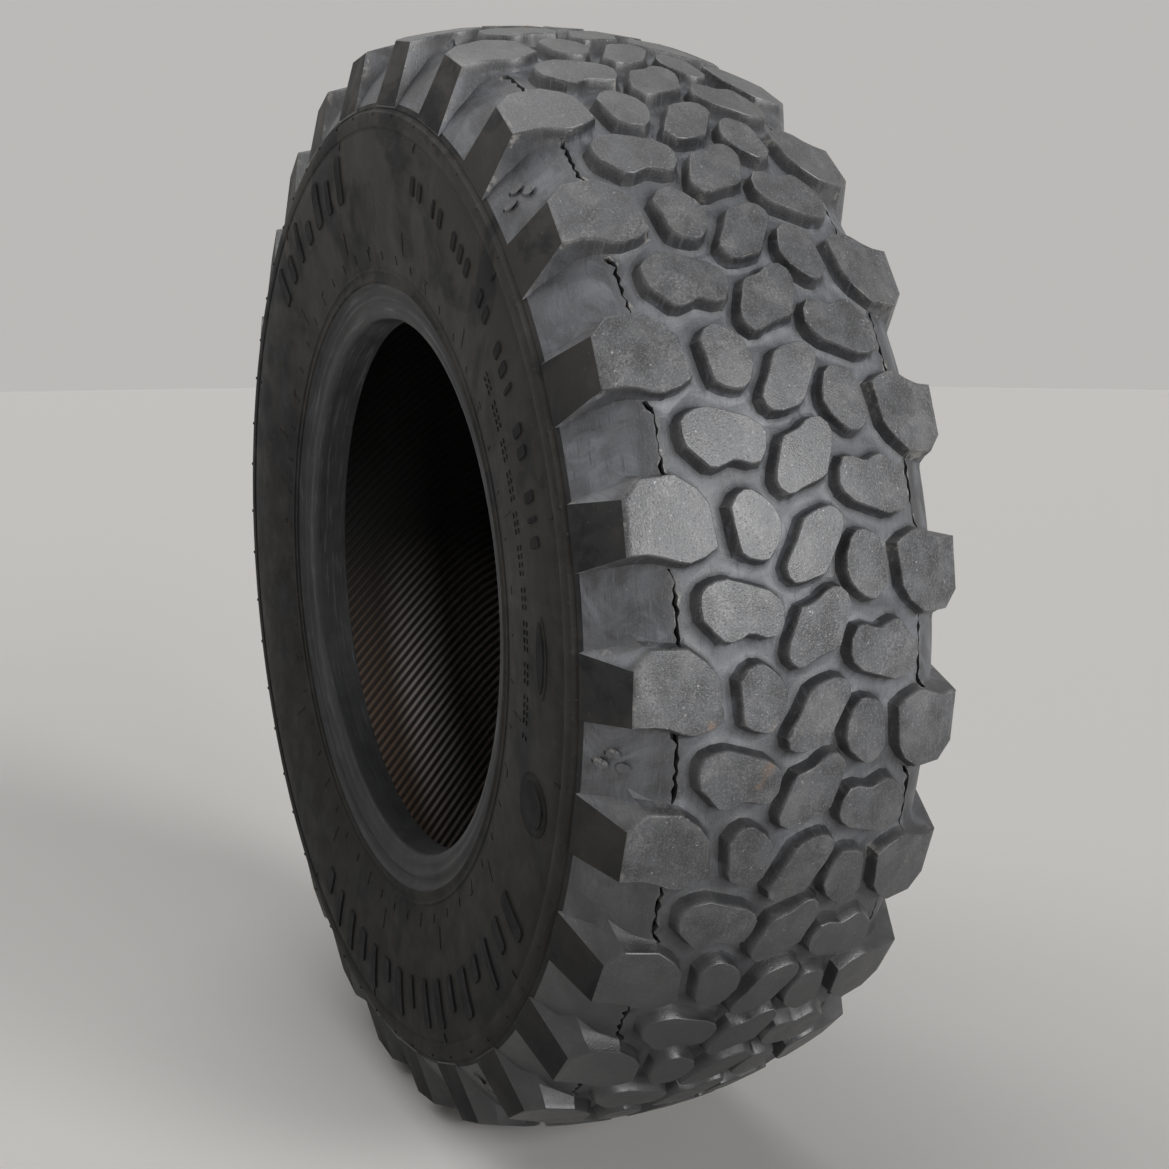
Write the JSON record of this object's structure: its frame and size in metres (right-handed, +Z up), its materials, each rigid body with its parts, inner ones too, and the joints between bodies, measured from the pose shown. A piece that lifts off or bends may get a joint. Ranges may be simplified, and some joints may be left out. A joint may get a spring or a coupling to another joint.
{
  "type": "old worn tyre",
  "caption": "Worn all-terrain off-road truck tyre standing on its tread, with blocky lugs, cracked shoulder grooves and open beads for a wheel rim.",
  "frame": {"origin": "wheel centre: on the axle line, midway between the two bead seats", "axes": "+Y along the axle line, +Z up as the tyre stands on its tread, +X level and across the wheel"},
  "size_m": [1.04, 0.321, 1.033],
  "materials": {
    "tyre": "dull weathered rubber with pale dust"
  },
  "bodies": {
    "root": {"tyre": "tyre"}
  },
  "joints": []
}
